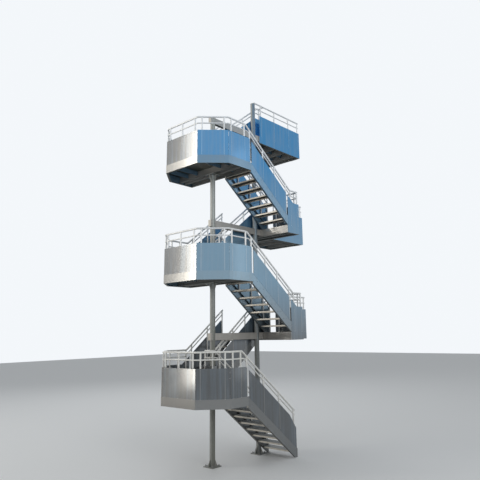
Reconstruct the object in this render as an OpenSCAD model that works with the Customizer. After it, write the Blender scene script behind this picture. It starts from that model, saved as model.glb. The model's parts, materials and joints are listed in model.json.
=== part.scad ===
// Fire escape stair tower with six straight flights between left and right
// platforms, carried on two tube columns. Sizes in millimetres, +Z up, ground
// at zero, origin under the base plate of the left column. The near lane is at
// the low Y side, and X runs along the flights.

/* [Steps and levels] */
// Height of one step
riser = 190; // [180:1:200]
// Going of one step
going = 240; // [230:1:255]
// Risers in the first flight, up from the ground
first_risers = 9; // [8:1:10]
// Risers in each of the other flights
flight_risers = 8; // [7:1:10]

/* [Plan] */
// Width of the near lane
near_lane = 1025; // [990:1:1100]
// Width of the far lane
far_lane = 1200; // [1150:1:1240]
// Width of the stair well between the lanes
well_width = 215; // [200:5:280]
// Depth of the cut corners of the left platforms
corner_cut = 585; // [520:5:640]
// Distance from the near cut corner to the stair edge of the left platforms
left_reach = 875; // [840:5:920]
// Overlap of the lowest tread over the platform below
tread_lap = 125; // [105:1:135]
// Depth of the right platforms beside the near lane
right_depth = 570; // [520:5:640]
// Length of the walkway beyond the right platforms
walkway_length = 1560; // [1400:10:1700]

/* [Columns] */
// Outside diameter of the columns
column_d = 139.7; // [133:0.1:141]
// Wall of the column tube
column_wall = 6.3; // [5:0.1:10]
// Distance from the near lane to the column line
column_inset = 75; // [73:1:90]
// Distance from the near cut corner to the left column
left_column_x = 470; // [455:1:480]
// Distance from the right column to the stair edge of the right platforms
right_column_inset = 210; // [190:1:260]
// Side of the square base plates
base_side = 320; // [300:5:360]
// Thickness of the base plates
base_t = 20; // [15:1:30]
// Diameter of the anchor holes
anchor_hole_d = 22; // [18:1:26]
// Distance from each anchor hole to the plate edges
anchor_edge = 45; // [35:1:55]
// Side of the seat plates under the left platforms
seat_side = 300; // [292:2:330]
// Thickness of the seat plates
seat_t = 15; // [12:1:20]
// Height of the gusset plates
gusset_h = 160; // [120:5:165]
// Thickness of the gusset plates
gusset_t = 10; // [8:1:14]

/* [Centre beams] */
// Depth of the beams between the columns
beam_depth = 180; // [160:5:200]
// Width of the beams
beam_width = 100; // [80:2:110]
// Wall of the beams
beam_wall = 6.3; // [5:0.1:8]
// Length of the beam end left of the left column, from the column centre
beam_stub = 120; // [110:5:160]
// Weld gap between a beam end and a column
weld_gap = 0.3; // [0.1:0.1:0.5]

/* [Platforms and strings] */
// Thickness of the deck plate
deck_t = 6; // [4:0.5:8]
// Depth of the edge channels and of the strings
channel_depth = 220; // [205:1:225]
// Thickness of the channel webs and flanges
channel_t = 8; // [6:0.5:9]
// Width of the channel flanges
channel_flange = 60; // [55:1:65]
// Height of the string edge over the nosing line
string_over = 15; // [12:0.5:18]
// Length of the string foot beyond the lowest nosing
string_toe = 30; // [20:1:35]
// Distance from the lowest nosing back to the foot end of the first flight
first_toe = 15; // [10:1:20]
// Depth of the bearers under the platforms
bearer_depth = 200; // [190:1:205]
// Gap between the bearers and the column
bearer_gap = 10; // [6:1:14]
// Depth of the deck stiffeners
stiffener_depth = 120; // [80:5:150]
// Thickness of the deck stiffeners
stiffener_t = 8; // [5:1:10]
// Stiffeners under each lane of a platform
stiffener_count = 2; // [1:1:4]
// Bearers under the walkway
walk_bearers = 3; // [2:1:4]
// Gap round the column where it passes the deck
deck_gap = 6; // [3:0.5:9]
// Thickness of the wall plates at the walkway ends
wall_plate_t = 12; // [8:1:20]
// Width of the wall plates
wall_plate_w = 260; // [220:5:300]
// Diameter of the wall bolt holes
wall_hole_d = 18; // [14:1:22]
// Distance from each wall bolt hole to the plate edges
wall_hole_edge = 52; // [35:1:70]

/* [Treads] */
// Depth of a tread from nosing to back edge
tread_depth = 265; // [262:0.5:270]
// Plate thickness of the folded treads
tread_t = 5; // [3:0.5:6]
// Depth of the folded lips
tread_lip = 40; // [34:0.5:41]

/* [Guards] */
// Height of the rail over the platforms
guard_height = 1100; // [1000:10:1200]
// Height of the rail over the nosing line
rake_height = 950; // [900:10:1000]
// Height of the middle rail over the platforms, to its centre
mid_height = 900; // [840:10:930]
// Height of the middle rail over the nosing line, to its centre
rake_mid_height = 800; // [740:10:830]
// Height of the sheets over the platforms
sheet_height = 700; // [650:10:740]
// Height of the sheets over the nosing line
rake_sheet_height = 650; // [610:10:690]
// Diameter of the top rail
rail_d = 48.3; // [44:0.1:52]
// Diameter of the middle rail
mid_d = 33.7; // [26:0.1:38]
// Diameter of the posts
post_d = 42.4; // [38:0.1:43]
// Diameter of the link between the guards of the top platform
link_d = 38; // [30:0.5:42]
// Thickness of the guard sheets
sheet_t = 3; // [2:0.5:4]
// Setback of the posts and strings from the tower face
setback = 8; // [6:0.5:10]
// Bend radius of the top rail
rail_bend = 75; // [65:1:80]
// Bend radius of the middle rail
mid_bend = 42; // [38:1:44]
// Height of the weld beads on the rails
bead_h = 0.6; // [0.5:0.1:1]
// Width of the weld beads on the rails
bead_w = 6; // [5:0.5:8]
// Level length of the top rail beside the stair well, before it turns
well_level = 110; // [106:1:112]
// Open seam between the sheets and the platform edges
seam = 32; // [20:1:36]
// Gap between sheets at the corners
corner_gap = 6; // [4:1:10]
// Lap of the raking sheets over the strings
sheet_lap = 20; // [10:1:30]
// Distance from a corner to the nearest post
corner_post = 120; // [100:5:140]
// Distance from a platform's stair edge back to its edge post
edge_post = 26; // [24:1:32]
// Distance from the top nosing of a flight to its first post
rake_post = 525; // [480:5:560]
// Distance from the lowest nosing of a flight back to its last post
rake_post_low = 145; // [130:5:200]
// Distance from the top nosing of the first flight to its first post
first_post = 595; // [500:5:650]
// Distance from the top nosing of the first flight to its second post
second_post = 1195; // [1100:5:1250]
// Distance from the lowest nosing of the first flight back to its last post
third_post = 125; // [110:5:180]
// Distance from the last post of the first flight to its rail ends
first_rail_over = 42; // [30:1:60]
// Distance from a flight's foot bend to the post beyond it
foot_post = 20; // [16:1:40]
// Distance from the top nosing of the far flights to the end of their outer guard
wall_side_end = 290; // [250:5:350]
// Distance from that end to its post
wall_side_post = 25; // [22:1:60]
// Distance from the end of the right platforms to their near end post
near_end_post = 63; // [50:1:80]
// Distance from the corners to the posts of the end guards
end_guard_post = 160; // [100:5:220]
// Distance from the guard lines to the rail ends of the end guards
end_guard_over = 32; // [28:1:60]
// Distance from the walkway ends to the rail ends
walk_rail_end = 30; // [20:1:60]
// Distance from the walkway ends to the end posts
walk_post_end = 75; // [50:1:100]
// Distance from the stair edge to the first walkway post of the top platform
top_walk_post = 110; // [80:5:160]
// Distances from the end of the right platforms to the next two
second_walk_post = 225; // [200:5:350]
third_walk_post = 970; // [800:10:1000]
// Length of the cut corner of the first flight's sheets
sheet_cut_x = 260; // [200:5:300]
// Height of the cut corner of the first flight's sheets
sheet_cut_z = 150; // [120:5:180]
// Distance of the rail joints below the top nosings
joint_top = 12; // [11:1:20]
// Distance of the rail joints above the lowest nosings
joint_low = 40; // [30:1:60]

/* [Hidden] */
$fn = 48;
slope = riser / going;
pitch = atan(slope);
flight_run = (flight_risers - 1) * going;
tower_width = near_lane + well_width + far_lane;
column_line = near_lane + column_inset;
right_edge = left_reach + flight_run - tread_lap;
storey = 2 * flight_risers * riser;
far_lane_y = tower_width - far_lane;
right_column_x = right_edge - right_column_inset;
wall_x = right_edge + right_depth;
walkway_end = wall_x + walkway_length;
column_r = column_d / 2;
rail_r = rail_d / 2;
post_r = post_d / 2;
post_in = setback + post_r + weld_gap;
sheet_out = setback - sheet_t;
string_drop = channel_depth / cos(pitch);
flange_drop = channel_t / cos(pitch);
flat_rail = guard_height - rail_r;
top_column = guard_height - rail_d - weld_gap;
rake_rail = rake_height - rail_r / cos(pitch);
post_sink = 5;
gusset_sink = 1;
wall_plate_sink = 1;
bead_gap = 0.5;
cut = 1;
plan_turn = sqrt(2) - 1;
split_top = joint_top;
split_low = flight_run - joint_low;
first_run = (first_risers - 1) * going;
first_end = first_run - first_toe;
toe_x = flight_run + string_toe;
low_seam = flight_run - tread_lap;
near_in = near_lane - post_in;
far_in = far_lane_y + post_in;
walk_y = near_lane + setback;
walk_in = near_lane + post_in;
end_in = wall_x - post_r;
first_posts = [first_post, second_post, first_run - third_post];
rake_posts_x = [rake_post, (rake_post + flight_run - rake_post_low) / 2, flight_run - rake_post_low];
wall_side_x = wall_side_end + wall_side_post;
wall_side_posts = [wall_side_x, (wall_side_x + flight_run - rake_post_low) / 2, flight_run - rake_post_low];
rail_kinds = [
    [flat_rail, rake_rail, rail_r, rail_bend],
    [mid_height, rake_mid_height, mid_d / 2, mid_bend]
];
stiffener_lines = [
    for (k = [1 : stiffener_count])
        each [k * near_lane / (stiffener_count + 1), far_lane_y + k * far_lane / (stiffener_count + 1)]
];

// Deck height of left platform i and right platform i, from 1
function left_z(i) = first_risers * riser + (i - 1) * storey;
function right_z(i) = left_z(i) + flight_risers * riser;
// Near-lane stair edge of left platform i
function near_edge(i) = i == 1 ? left_reach - (first_risers - flight_risers) * going : left_reach;

// Centre line of a raking tube, below the top nosing at zero
function rake(x, over) = over - slope * x;
// Bend positions at the top and foot of a flight with flight_risers risers
function top_bend(flat, over) = (over - flat) / slope;
function foot_bend(flat, over) = (over + flight_risers * riser - flat) / slope;

foot_post_x = right_edge - foot_bend(flat_rail, rake_rail) - foot_post;
near_foot_x = left_reach + foot_bend(flat_rail, rake_rail) + foot_post;
right_well_x = right_edge - top_bend(flat_rail, rake_rail) + well_level;

function unit(v) = v / norm(v);
// Offset of a closed outline to the inside, counterclockwise corners
function line_shift(p, q, d) = p + d * unit([p[1] - q[1], q[0] - p[0]]);
function across(u, v) = u[0] * v[1] - u[1] * v[0];
function meet(a, u, b, v) = a + u * across(b - a, v) / across(u, v);
function inset(path, d) = [
    for (i = [0 : len(path) - 1])
        let (n = len(path), p = path[(i + n - 1) % n], q = path[i], r = path[(i + 1) % n])
        meet(line_shift(p, q, d), q - p, line_shift(q, r, d), r - q)
];

// Puts the tower's own coordinates on the left column
module placed() {
    translate([-left_column_x, -column_line, 0]) children();
}

// A flight frame has its top nosing at the origin and falls along +X
module near_flight(edge, z) {
    translate([edge, 0, z]) children();
}
module far_flight(z) {
    translate([right_edge, tower_width, z]) rotate([0, 0, 180]) children();
}
module other_side(lane) {
    translate([0, lane, 0]) mirror([0, 1, 0]) children();
}

// Upright profile in X and Z between two Y positions
module profile(points, y0, y1) {
    translate([0, y1, 0]) rotate([90, 0, 0]) linear_extrude(height = y1 - y0) polygon(points);
}

module frame_at(x, y, z, p) {
    multmatrix([
        [x[0], y[0], z[0], p[0]],
        [x[1], y[1], z[1], p[1]],
        [x[2], y[2], z[2], p[2]],
        [0, 0, 0, 1]
    ]) children();
}

module tube(p, q, r) {
    along = unit(q - p);
    side = unit(cross(abs(along[2]) > 0.9 ? [0, 1, 0] : [0, 0, 1], along));
    frame_at(side, cross(along, side), along, p) cylinder(h = norm(q - p), r = r);
}

// Bend from direction a to direction b at corner p, bead_gap short at each end
module elbow(p, a, b, r, bend) {
    angle = acos(a * b);
    inward = unit(b - a * (a * b));
    start = p - a * bend * tan(angle / 2);
    trim = bead_gap / bend * 180 / PI;
    frame_at(-inward, a, cross(-inward, a), start + inward * bend)
        rotate([0, 0, trim]) rotate_extrude(angle = angle - 2 * trim) translate([bend, 0]) circle(r = r);
}

// Tube through the given corners: straight lengths with a weld bead at each end
// that meets a bend, and the bends between them
module tube_run(points, r, bend) {
    last = len(points) - 1;
    dirs = [for (i = [0 : last - 1]) unit(points[i + 1] - points[i])];
    cuts = [for (i = [0 : last]) (i == 0 || i == last) ? 0 : bend * tan(acos(dirs[i - 1] * dirs[i]) / 2)];
    for (i = [0 : last - 1]) {
        p = points[i] + dirs[i] * cuts[i];
        q = points[i + 1] - dirs[i] * cuts[i + 1];
        tube(p, q, r);
        if (i > 0)
            tube(p, p + dirs[i] * bead_w, r + bead_h);
        if (i + 1 < last)
            tube(q - dirs[i] * bead_w, q, r + bead_h);
    }
    for (i = [1 : 1 : last - 1])
        elbow(points[i], dirs[i - 1], dirs[i], r, bend);
}

module post(x, y, z0, z1) {
    translate([x, y, z0]) cylinder(h = z1 - z0, d = post_d);
}

// Columns

// Four gussets round the column, the first of them towards +X
module gussets(reaches, h) {
    for (k = [0 : 3])
        rotate([0, 0, 90 * k])
            profile([
                [column_r + weld_gap, 0], [reaches[k], 0],
                [reaches[k], gusset_t], [column_r + gusset_t, h], [column_r + weld_gap, h]
            ], -gusset_t / 2, gusset_t / 2);
}

module column_tube(h) {
    foot = base_t + weld_gap;
    difference() {
        translate([0, 0, foot]) cylinder(h = h - foot, d = column_d);
        translate([0, 0, foot - cut]) cylinder(h = h - foot + cut - channel_t, d = column_d - 2 * column_wall);
    }
}

module base_plate() {
    hole = base_side / 2 - anchor_edge;
    gusset_end = base_side / 2 - gusset_t;
    difference() {
        translate([-base_side / 2, -base_side / 2, 0]) cube([base_side, base_side, base_t]);
        for (x = [-hole, hole], y = [-hole, hole])
            translate([x, y, -cut]) cylinder(h = base_t + 2 * cut, d = anchor_hole_d);
    }
    translate([0, 0, base_t - gusset_sink])
        gussets([gusset_end, gusset_end, gusset_end, gusset_end], gusset_h);
}

// Seat plate and gussets under left platform i, clear of its edge channel
module seat(i) {
    z = left_z(i) - deck_t - bearer_depth;
    half = seat_side / 2;
    right = min(half, near_edge(i) - left_column_x - channel_flange - weld_gap);
    gusset_end = half - gusset_t;
    translate([0, 0, z - seat_t]) difference() {
        translate([-half, -half, 0]) cube([half + right, seat_side, seat_t]);
        translate([0, 0, -cut]) cylinder(h = seat_t + 2 * cut, r = column_r + weld_gap);
    }
    translate([0, 0, z - seat_t + gusset_sink]) mirror([0, 0, 1])
        gussets([right - gusset_t, gusset_end, gusset_end, gusset_end], gusset_h);
}

module column_left() {
    color("gainsboro") {
        base_plate();
        column_tube(right_z(3));
        for (i = [1 : 3])
            seat(i);
    }
}

module column_right() {
    color("gainsboro") placed() translate([right_column_x, column_line, 0]) {
        base_plate();
        column_tube(right_z(3) + top_column);
    }
}

module beam_piece(x0, x1) {
    translate([x0, -beam_width / 2, -beam_depth]) cube([x1 - x0, beam_width, beam_depth]);
}

module beam_bore(x0, x1) {
    translate([x0, -beam_width / 2 + beam_wall, beam_wall - beam_depth])
        cube([x1 - x0, beam_width - 2 * beam_wall, beam_depth - 2 * beam_wall]);
}

module centre_beams() {
    span = right_column_x - left_column_x;
    end = right_edge - left_column_x;
    color("silver")
        for (i = [1 : 3])
            translate([0, 0, right_z(i)]) difference() {
                beam_piece(-beam_stub, end);
                beam_bore(-beam_stub + beam_wall, end - beam_wall);
                for (x = [0, span])
                    translate([x, 0, -beam_depth - cut])
                        cylinder(h = beam_depth + 2 * cut, r = column_r + weld_gap);
            }
}

// Platforms

module ring(path, wide, z0, z1) {
    translate([0, 0, z0]) linear_extrude(height = z1 - z0) difference() {
        polygon(path);
        polygon(inset(path, wide));
    }
}

module edge_channel(path, z) {
    ring(path, channel_t, z - channel_depth, z - deck_t / 2);
    ring(path, channel_flange, z - channel_depth, z - channel_depth + channel_t);
}

module deck(path, z) {
    translate([0, 0, z - deck_t]) linear_extrude(height = deck_t) polygon(path);
}

// Bearer with its web at x and its flange towards dir
module bearer(x, y0, y1, dir, z) {
    web_x = dir > 0 ? x : x - channel_t;
    flange_x = dir > 0 ? x : x - channel_flange;
    translate([web_x, y0, z - deck_t - bearer_depth])
        cube([channel_t, y1 - y0, bearer_depth + deck_t / 2]);
    translate([flange_x, y0, z - deck_t - bearer_depth])
        cube([channel_flange, y1 - y0, channel_t]);
}

module stiffener(x0, x1, y, z) {
    translate([x0, y - stiffener_t / 2, z - stiffener_depth - deck_t])
        cube([x1 - x0, stiffener_t, stiffener_depth + deck_t / 2]);
}

// Deck plate with its edge channel, and stiffeners from x0 to x1
module deck_frame(path, x0, x1, z) {
    deck(path, z);
    edge_channel(path, z);
    intersection() {
        for (y = stiffener_lines)
            stiffener(x0, x1, y, z);
        translate([0, 0, z - channel_depth])
            linear_extrude(height = channel_depth) polygon(inset(path, channel_t / 2));
    }
}

function left_outline(edge) = [
    [0, 0], [edge, 0], [edge, tower_width], [0, tower_width],
    [-corner_cut, tower_width - corner_cut], [-corner_cut, corner_cut]
];

function block_outline(x0, y0, x1, y1) = [[x0, y0], [x1, y0], [x1, y1], [x0, y1]];

module left_platform(i) {
    z = left_z(i);
    edge = near_edge(i);
    hole_r = column_r + deck_gap;
    web_in = column_r + bearer_gap;
    color("silver") placed() {
        difference() {
            union() {
                deck_frame(left_outline(edge), -corner_cut, edge, z);
                bearer(left_column_x - web_in, channel_t / 2, tower_width - channel_t / 2, -1, z);
                bearer(left_column_x + web_in, channel_t / 2, tower_width - channel_t / 2, 1, z);
            }
            translate([left_column_x, column_line, z - channel_depth - cut])
                cylinder(h = channel_depth + 2 * cut, r = hole_r);
        }
        if (edge < left_reach)
            deck_frame(block_outline(edge + weld_gap, far_lane_y, left_reach, tower_width), edge, left_reach, z);
    }
}

module wall_plate(y, z) {
    translate([walkway_end - wall_plate_sink, y - wall_plate_w / 2, z - channel_depth]) difference() {
        cube([wall_plate_sink + wall_plate_t, wall_plate_w, channel_depth - deck_t]);
        for (y = [wall_hole_edge, wall_plate_w - wall_hole_edge])
            translate([-cut, y, channel_depth / 2]) rotate([0, 90, 0])
                cylinder(h = wall_plate_sink + wall_plate_t + 2 * cut, d = wall_hole_d);
    }
}

module right_platform(i) {
    z = right_z(i);
    walk_x = i == 3 ? right_edge : wall_x + weld_gap;
    color("silver") placed() {
        deck_frame(block_outline(walk_x, walk_y, walkway_end, tower_width), walk_x, walkway_end, z);
        for (k = [1 : walk_bearers])
            bearer(
                wall_x + walkway_length * (k - 0.5) / walk_bearers,
                walk_y + channel_t / 2, tower_width - channel_t / 2, 1, z
            );
        for (y = [walk_y + wall_plate_w, tower_width - wall_plate_w])
            wall_plate(y, z);
        if (i < 3) {
            deck_frame(block_outline(right_edge, setback, wall_x, tower_width), right_edge, wall_x, z);
            bearer(right_edge + right_depth / 2, setback + channel_t / 2, tower_width - channel_t / 2, 1, z);
        }
    }
}

// Strings and treads

function floor_x(n) = (string_over - string_drop + n * riser) / slope;

// One string with its web outside at y = setback and flanges inward
module string(n, end_x) {
    low = -n * riser;
    web = [
        [0, string_over - string_drop], [floor_x(n), low], [end_x, low],
        [end_x, rake(end_x, string_over)], [string_over / slope, 0], [0, 0]
    ];
    top_flange = [
        [string_over / slope, -flange_drop], [end_x, rake(end_x, string_over) - flange_drop],
        [end_x, rake(end_x, string_over)], [string_over / slope, 0]
    ];
    bottom_flange = [
        [0, string_over - string_drop], [floor_x(n), low],
        [floor_x(n) + flange_drop / slope, low], [0, string_over - string_drop + flange_drop]
    ];
    foot = [[floor_x(n), low], [end_x, low], [end_x, low + channel_t], [floor_x(n), low + channel_t]];
    end_plate = [
        [0, string_over - string_drop], [channel_t, string_over - string_drop - slope * channel_t],
        [channel_t, -flange_drop], [0, -flange_drop]
    ];
    profile(web, setback, setback + channel_t);
    for (p = [top_flange, bottom_flange, foot, end_plate])
        profile(p, setback + channel_t / 2, setback + channel_flange);
}

module strings(n, lane, end_x) {
    string(n, end_x);
    other_side(lane) string(n, end_x);
}

// Folded tread with closed ends, nosing at x and top at z
module tread(x, z, depth, lane) {
    y0 = setback + channel_t;
    wide = lane - 2 * y0;
    translate([x - depth, y0, z - tread_lip]) difference() {
        cube([depth, wide, tread_lip]);
        translate([tread_t, tread_t, -cut])
            cube([depth - 2 * tread_t, wide - 2 * tread_t, tread_lip - tread_t + cut]);
    }
}

// Treads of a flight with n risers, the top one ends at the strings' end plates
module treads(n, lane) {
    for (k = [1 : n - 1])
        tread(k * going, -k * riser, min(tread_depth, k * going - channel_t - weld_gap), lane);
}

// Guards of the flights

// Posts with their feet cut to the slope of the string
module rake_posts(xs) {
    x0 = xs[0] - post_d;
    x1 = xs[len(xs) - 1] + post_d;
    foot = string_over + weld_gap;
    low = rake(x1, foot) - 2 * post_d;
    difference() {
        for (x = xs)
            post(x, post_in, rake(x, foot) - post_d, rake(x, rake_rail) - post_sink);
        profile([[x0, rake(x0, foot)], [x0, low], [x1, low], [x1, rake(x1, foot)]], 0, 2 * post_in);
    }
}

// Top and middle rail between two joints, a weld gap short at each
module flight_rails(joint0, joint1) {
    x0 = joint0 + weld_gap;
    x1 = joint1 - weld_gap;
    for (t = [[rake_rail, rail_r], [rake_mid_height, mid_d / 2]])
        tube([x0, post_in, rake(x0, t[0])], [x1, post_in, rake(x1, t[0])], t[1]);
}

module flight_guard(xs, x0, x1) {
    rake_posts(xs);
    flight_rails(x0, x1);
}

module rake_sheet(x0, x1) {
    profile([
        [x0, rake(x0, string_over - sheet_lap)], [x1, rake(x1, string_over - sheet_lap)],
        [x1, rake(x1, rake_sheet_height)], [x0, rake(x0, rake_sheet_height)]
    ], sheet_out, setback);
}

// Last sheet of the first flight, with its lower corner cut
module first_sheet(x0, x1) {
    x_cut = x1 - sheet_cut_x;
    profile([
        [x0, rake(x0, string_over - sheet_lap)], [x1, rake(x1, string_over - sheet_lap)],
        [x1, rake(x1, rake_sheet_height) - sheet_cut_z], [x_cut, rake(x_cut, rake_sheet_height)],
        [x0, rake(x0, rake_sheet_height)]
    ], sheet_out, setback);
}

// Sheet on a platform at the top of a flight, top edge follows the rail
module top_sheet(x0, x1) {
    bend = top_bend(sheet_height, rake_sheet_height);
    profile([
        [x0, 0], [x1, 0], [x1, rake(x1, rake_sheet_height)], [bend, sheet_height], [x0, sheet_height]
    ], sheet_out, setback);
}

// Sheet on a platform at the foot of a flight
module foot_sheet(x0, x1, below) {
    floor_z = -flight_risers * riser;
    bend = foot_bend(sheet_height, rake_sheet_height);
    profile([
        [x0, floor_z - below], [x1, floor_z - below], [x1, floor_z + sheet_height],
        [bend, floor_z + sheet_height], [x0, rake(x0, rake_sheet_height)]
    ], sheet_out, setback);
}

// Pairs of raking guards and sheets

module near_guard_pair() {
    flight_guard(rake_posts_x, split_top, split_low);
    other_side(near_lane) flight_guard(rake_posts_x, split_top, split_low);
}

module first_guard_pair() {
    end = first_run - third_post + first_rail_over;
    flight_guard(first_posts, split_top, end);
    other_side(near_lane) flight_guard(first_posts, split_top, end);
}

module far_guard_pair() {
    flight_guard(wall_side_posts, wall_side_end, split_low);
    other_side(far_lane) flight_guard(rake_posts_x, split_top, split_low);
}

module near_sheet_pair() {
    rake_sheet(seam, low_seam - seam);
    other_side(near_lane) rake_sheet(seam, low_seam - seam);
}

module first_sheet_pair() {
    first_sheet(seam, first_end - seam);
    other_side(near_lane) first_sheet(seam, first_end - seam);
}

module far_sheet_pair() {
    rake_sheet(wall_side_end, low_seam - seam);
    other_side(far_lane) rake_sheet(seam, low_seam - seam);
}

// Guards of the platforms

// Rail corners round left platform i, for a tube at height flat and rake over
function left_path(i, flat, over) = let (
    e = near_edge(i),
    top = top_bend(flat, over),
    foot = foot_bend(flat, over),
    low_z = over + flight_risers * riser
) [
    [e + split_top, post_in, rake(split_top, over)],
    [e + top, post_in, flat],
    [post_in * plan_turn, post_in, flat],
    [post_in - corner_cut, corner_cut + post_in * plan_turn, flat],
    [post_in - corner_cut, tower_width - corner_cut - post_in * plan_turn, flat],
    [post_in * plan_turn, tower_width - post_in, flat],
    [right_edge - foot, tower_width - post_in, flat],
    [right_edge - split_low, tower_width - post_in, low_z - slope * split_low]
];

function well_x(i) = near_edge(i) + top_bend(flat_rail, rake_rail) - well_level;

// Rail corners round the stair well at left platform i
function left_well_path(i, flat, over) = let (
    e = near_edge(i),
    low_z = over + flight_risers * riser
) [
    [e + split_top, near_in, rake(split_top, over)],
    [e + top_bend(flat, over), near_in, flat],
    [well_x(i), near_in, flat],
    [well_x(i), far_in, flat],
    [right_edge - foot_bend(flat, over), far_in, flat],
    [right_edge - split_low, far_in, low_z - slope * split_low]
];

module rails_along(kind, i) {
    for (t = rail_kinds)
        tube_run(
            kind == "left" ? left_path(i, t[0], t[1])
            : kind == "left well" ? left_well_path(i, t[0], t[1])
            : kind == "right near" ? right_near_path(t[0], t[1])
            : kind == "right well" ? right_well_path(t[0], t[1])
            : kind == "top well" ? top_well_path(t[0], t[1])
            : walk_path(i, t[0]),
            t[2], t[3]
        );
}

module flat_post(x, y) {
    post(x, y, 0, flat_rail - post_sink);
}

module left_guard(i) {
    e = near_edge(i);
    diag = corner_cut * sqrt(2);
    edge_x = e - edge_post;
    side_in = corner_post;
    wx = well_x(i) + post_d;
    color("lightgray") placed() translate([0, 0, left_z(i)]) {
        rails_along("left", i);
        rails_along("left well", i);
        for (y = [post_in, near_in])
            post(edge_x, y, 0, rake(-edge_post, rake_rail) - post_sink);
        flat_post(e + top_bend(flat_rail, rake_rail) - post_d, post_in);
        flat_post(side_in, post_in);
        for (s = [side_in, diag - side_in], far = [0, 1]) {
            x = (post_in - s) / sqrt(2);
            y = (post_in + s) / sqrt(2);
            flat_post(x, far == 0 ? y : tower_width - y);
        }
        for (y = [corner_cut + side_in, tower_width / 2, tower_width - corner_cut - side_in])
            flat_post(post_in - corner_cut, y);
        for (x = [side_in, (side_in + foot_post_x) / 2, foot_post_x])
            flat_post(x, tower_width - post_in);
        flat_post(wx, near_in);
        flat_post(wx, far_in);
        if (foot_post_x - wx > 3 * post_d)
            flat_post(foot_post_x, far_in);
    }
}

module face_sheet(p, q) {
    long = norm(q - p);
    a = atan2(q[1] - p[1], q[0] - p[0]);
    translate([p[0], p[1], 0]) rotate([0, 0, a])
        translate([corner_gap, sheet_out, 0]) cube([long - 2 * corner_gap, sheet_t, sheet_height]);
}

module left_sheets(i) {
    e = near_edge(i);
    path = left_outline(left_reach);
    far_x = right_edge;
    cross_x = well_x(i) + post_r;
    color("skyblue") placed() translate([0, 0, left_z(i)]) {
        near_flight(e, 0) top_sheet(-e + corner_gap, -seam);
        face_sheet(path[5], path[0]);
        face_sheet(path[4], path[5]);
        face_sheet(path[3], path[4]);
        far_flight(flight_risers * riser) foot_sheet(low_seam + seam, far_x - corner_gap, 0);
        near_flight(e, 0) other_side(near_lane) top_sheet(cross_x + sheet_t + corner_gap - e, -seam);
        far_flight(flight_risers * riser) other_side(far_lane)
            foot_sheet(low_seam + seam, far_x - cross_x - sheet_t - corner_gap, 0);
        translate([cross_x, near_lane - setback, 0])
            cube([sheet_t, far_lane_y - near_lane + 2 * setback, sheet_height]);
    }
}

function right_near_path(flat, over) = [
    [left_reach + split_low, post_in, over + flight_risers * riser - slope * split_low],
    [left_reach + foot_bend(flat, over), post_in, flat],
    [wall_x - near_end_post + post_r, post_in, flat]
];

function right_well_path(flat, over) = [
    [left_reach + split_low, near_in, over + flight_risers * riser - slope * split_low],
    [left_reach + foot_bend(flat, over), near_in, flat],
    [right_well_x, near_in, flat],
    [right_well_x, far_in, flat],
    [right_edge - top_bend(flat, over), far_in, flat],
    [right_edge - split_top, far_in, rake(split_top, over)]
];

// Rail corners along the far flight at the top platform, up to the column
function top_well_path(flat, over) = [
    [right_edge - split_top, far_in, rake(split_top, over)],
    [right_edge - top_bend(flat, over), far_in, flat],
    [right_well_x, far_in, flat]
];

// Walkway rail, from the top of the column on the top platform and from the inner
// corner below
function walk_path(i, flat) = [
    [i == 3 ? right_column_x : wall_x + walk_rail_end, walk_in, flat],
    [walkway_end - walk_rail_end, walk_in, flat]
];

function walk_posts(i) = i == 3
    ? [
        right_edge + top_walk_post, wall_x + second_walk_post,
        wall_x + third_walk_post, walkway_end - walk_post_end
    ]
    : [wall_x + walk_post_end, (wall_x + walkway_end) / 2, walkway_end - walk_post_end];

// Guard across the end of the lower right platforms
module end_guard() {
    for (t = rail_kinds)
        tube([end_in, post_in + end_guard_over, t[0]], [end_in, walk_in - end_guard_over, t[0]], t[2]);
    for (y = [end_guard_post, near_lane - end_guard_post])
        flat_post(end_in, y);
}

module right_guard(i) {
    color("lightgray") placed() translate([0, 0, right_z(i)]) difference() {
        union() {
            rails_along("walk", i);
            for (x = walk_posts(i))
                flat_post(x, walk_in);
            post(right_edge + edge_post, far_in, 0, rake(-edge_post, rake_rail) - post_sink);
            flat_post(right_well_x - post_d, far_in);
            if (i < 3) {
                rails_along("right near", i);
                rails_along("right well", i);
                flat_post(near_foot_x, post_in);
                flat_post(wall_x - near_end_post, post_in);
                flat_post(right_well_x - post_d, near_in);
                end_guard();
            } else {
                rails_along("top well", i);
                link_x = right_well_x - post_d;
                link_end = rail_r + weld_gap;
                tube(
                    [link_x, walk_in + link_end, flat_rail],
                    [link_x, far_in - link_end, flat_rail], link_d / 2
                );
            }
        }
        translate([right_column_x, column_line, -cut])
            cylinder(h = top_column + weld_gap + cut, r = column_r + weld_gap);
    }
}

module walk_sheet(x0, x1) {
    translate([x0, near_lane + sheet_out, -channel_depth])
        cube([x1 - x0, sheet_t, channel_depth + sheet_height]);
}

module right_sheets(i) {
    color("skyblue") placed() translate([0, 0, right_z(i)]) {
        walk_sheet(i == 3 ? right_edge + seam : wall_x + sheet_t + corner_gap, walkway_end);
        if (i < 3) {
            near_flight(left_reach, flight_risers * riser)
                foot_sheet(low_seam + seam, wall_x - left_reach, channel_depth);
            translate([wall_x, setback + corner_gap, -channel_depth])
                cube([sheet_t, walk_y - setback - sheet_t - 2 * corner_gap, channel_depth + sheet_height]);
            near_flight(left_reach, flight_risers * riser) other_side(near_lane)
                foot_sheet(low_seam + seam, right_well_x - post_r - sheet_t - corner_gap - left_reach, 0);
            far_flight(0) other_side(far_lane)
                top_sheet(right_edge - right_well_x + post_r + sheet_t + corner_gap, -seam);
            translate([right_well_x - post_r - sheet_t, near_lane - setback, 0])
                cube([sheet_t, far_lane_y - near_lane + 2 * setback, sheet_height]);
        } else {
            far_flight(0) other_side(far_lane) top_sheet(right_edge - right_well_x, -seam);
        }
    }
}

// Numbered pieces

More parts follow.
